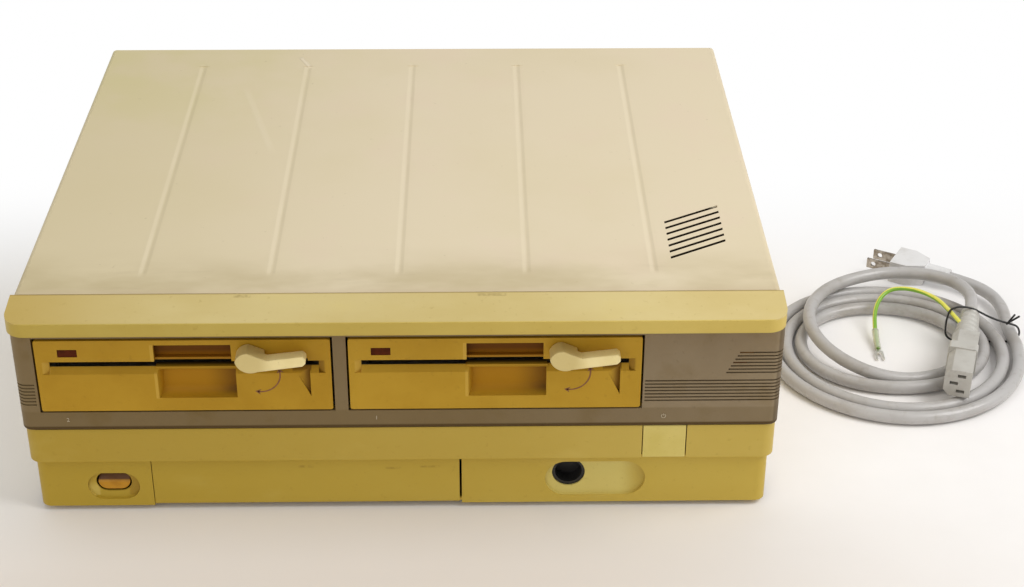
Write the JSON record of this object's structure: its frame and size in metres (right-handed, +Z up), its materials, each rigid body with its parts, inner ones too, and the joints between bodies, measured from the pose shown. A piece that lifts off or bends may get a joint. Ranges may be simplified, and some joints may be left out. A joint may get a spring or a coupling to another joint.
{
  "type": "desktop home computer",
  "caption": "Low desktop home computer in a yellowed beige case, with half-height floppy drives in a taupe fascia and a coiled mains cord beside it.",
  "frame": {"origin": "on the floor under the middle of the case, without the free mains cord", "axes": "+X to the right seen from the front, +Y to the back, +Z up"},
  "size_m": [0.5572, 0.327, 0.128],
  "materials": {
    "cover_paint": "satin textured beige paint",
    "steel_sheet": "zinc-plated sheet, satin",
    "case_plastic": "yellowed beige moulding",
    "fascia_plastic": "taupe moulding",
    "bezel_plastic": "aged ochre moulding",
    "cream_plastic": "aged cream moulding",
    "orange_plastic": "orange-brown moulding",
    "lens_red": "dark red lens",
    "lens_amber": "dark amber lens",
    "rubber_black": "matt",
    "drive_casting": "bare die casting",
    "polished_steel": "ground rod",
    "rotor_steel": "turned",
    "arm_steel": "stamped",
    "black_plastic": "moulded",
    "circuit_green": "solder mask",
    "chip_black": "epoxy packages",
    "ribbon_grey": "flat cable",
    "screw_zinc": "zinc-plated",
    "cord_grey": "glossy vinyl",
    "cord_socket_grey": "moulded vinyl",
    "plug_white": "moulded vinyl",
    "earth_green": "green and yellow vinyl",
    "tie_black": "coated wire"
  },
  "bodies": {
    "case": {"front_bezel": "case_plastic", "fascia_panel": "fascia_plastic", "mode_lamps": "lens_amber", "top_cover": "cover_paint", "base_pan": "steel_sheet", "rubber_feet": "rubber_black", "rear_panel": "steel_sheet", "slot_covers": "steel_sheet", "case_screws": "screw_zinc", "drive_1_bezel": "bezel_plastic", "drive_1_lamp": "lens_red", "drive_1_frame": "drive_casting", "drive_1_rails": "polished_steel", "drive_1_stepper": "rotor_steel", "drive_1_board": "circuit_green", "drive_2_bezel": "bezel_plastic", "drive_2_lamp": "lens_red", "drive_2_frame": "drive_casting", "drive_2_rails": "polished_steel", "drive_2_stepper": "rotor_steel", "drive_2_board": "circuit_green", "drive_cage": "steel_sheet", "power_switch": "black_plastic", "reset_switch": "black_plastic", "control_board": "circuit_green", "setting_switches": "black_plastic", "keyboard_socket": "black_plastic", "main_board": "circuit_green", "board_chips": "chip_black", "card_slots": "black_plastic", "printer_socket": "black_plastic", "serial_socket": "steel_sheet", "display_sockets": "black_plastic", "audio_jacks": "black_plastic", "ribbon_cables": "ribbon_grey", "psu_case": "steel_sheet", "psu_board": "circuit_green", "ac_inlet": "black_plastic", "speaker": "black_plastic", "mains_cord": "cord_grey", "cord_socket": "cord_socket_grey", "mains_plug": "plug_white", "earth_lead": "earth_green", "cord_tie": "tie_black"},
    "power_button": {"power_button": "cream_plastic"},
    "reset_button": {"reset_button": "orange_plastic"},
    "flap": {"flap_door": "case_plastic"},
    "volume": {"volume_knob": "black_plastic"},
    "lever_1": {"drive_1_lever": "cream_plastic", "drive_1_shaft": "polished_steel"},
    "clamp_1": {"drive_1_clamp_arm": "arm_steel"},
    "spindle_1": {"drive_1_spindle": "rotor_steel"},
    "carriage_1": {"drive_1_carriage": "black_plastic"},
    "screw_1": {"drive_1_screw": "polished_steel"},
    "lever_2": {"drive_2_lever": "cream_plastic", "drive_2_shaft": "polished_steel"},
    "clamp_2": {"drive_2_clamp_arm": "arm_steel"},
    "spindle_2": {"drive_2_spindle": "rotor_steel"},
    "carriage_2": {"drive_2_carriage": "black_plastic"},
    "screw_2": {"drive_2_screw": "polished_steel"}
  },
  "joints": [
    {"name": "power_press", "type": "slide", "parent": "case", "child": "power_button", "axis": [0, 1, 0], "range_m": [0, 0.003], "stiffness_N_per_m": 400, "springref_m": -0.001},
    {"name": "reset_press", "type": "slide", "parent": "case", "child": "reset_button", "axis": [0, 1, 0], "range_m": [0, 0.0025], "stiffness_N_per_m": 300, "springref_m": -0.001},
    {"name": "flap_hinge", "type": "hinge", "parent": "case", "child": "flap", "pos_m": [-0.05, -0.1434, 0.0049], "axis": [1, 0, 0], "range_deg": [0, 90]},
    {"name": "volume_turn", "type": "hinge", "parent": "case", "child": "volume", "pos_m": [-0.012, -0.1318, 0.0175], "axis": [0, 1, 0], "range_deg": [-135, 135]},
    {"name": "lever_1_turn", "type": "hinge", "parent": "case", "child": "lever_1", "pos_m": [0.0817, -0.1492, 0.1004], "axis": [0, 1, 0], "range_deg": [0, 90]},
    {"name": "clamp_1_hinge", "type": "hinge", "parent": "case", "child": "clamp_1", "pos_m": [0.0479, -0.002, 0.0965], "axis": [1, 0, 0], "range_deg": [0, 2]},
    {"name": "spindle_1_spin", "type": "hinge", "parent": "case", "child": "spindle_1", "pos_m": [0.0479, -0.077, 0.08], "axis": [0, 0, 1], "continuous": true},
    {"name": "carriage_1_slide", "type": "slide", "parent": "case", "child": "carriage_1", "axis": [0, -1, 0], "range_m": [0, 0.021]},
    {"name": "screw_1_turn", "type": "hinge", "parent": "case", "child": "screw_1", "pos_m": [0.0899, 0.0008, 0.08], "axis": [0, 1, 0], "range_deg": [0, 760]},
    {"name": "lever_2_turn", "type": "hinge", "parent": "case", "child": "lever_2", "pos_m": [-0.0737, -0.1492, 0.1004], "axis": [0, 1, 0], "range_deg": [0, 90]},
    {"name": "clamp_2_hinge", "type": "hinge", "parent": "case", "child": "clamp_2", "pos_m": [-0.1075, -0.002, 0.0965], "axis": [1, 0, 0], "range_deg": [0, 2]},
    {"name": "spindle_2_spin", "type": "hinge", "parent": "case", "child": "spindle_2", "pos_m": [-0.1075, -0.077, 0.08], "axis": [0, 0, 1], "continuous": true},
    {"name": "carriage_2_slide", "type": "slide", "parent": "case", "child": "carriage_2", "axis": [0, -1, 0], "range_m": [0, 0.021]},
    {"name": "screw_2_turn", "type": "hinge", "parent": "case", "child": "screw_2", "pos_m": [-0.0655, 0.0008, 0.08], "axis": [0, 1, 0], "range_deg": [0, 760]}
  ],
  "couplings": [
    {"joint": "clamp_1_hinge", "follows": "lever_1_turn", "ratio": 0.022222},
    {"joint": "screw_1_turn", "follows": "carriage_1_slide", "rad_per_m": 628.32},
    {"joint": "clamp_2_hinge", "follows": "lever_2_turn", "ratio": 0.022222},
    {"joint": "screw_2_turn", "follows": "carriage_2_slide", "rad_per_m": 628.32}
  ]
}
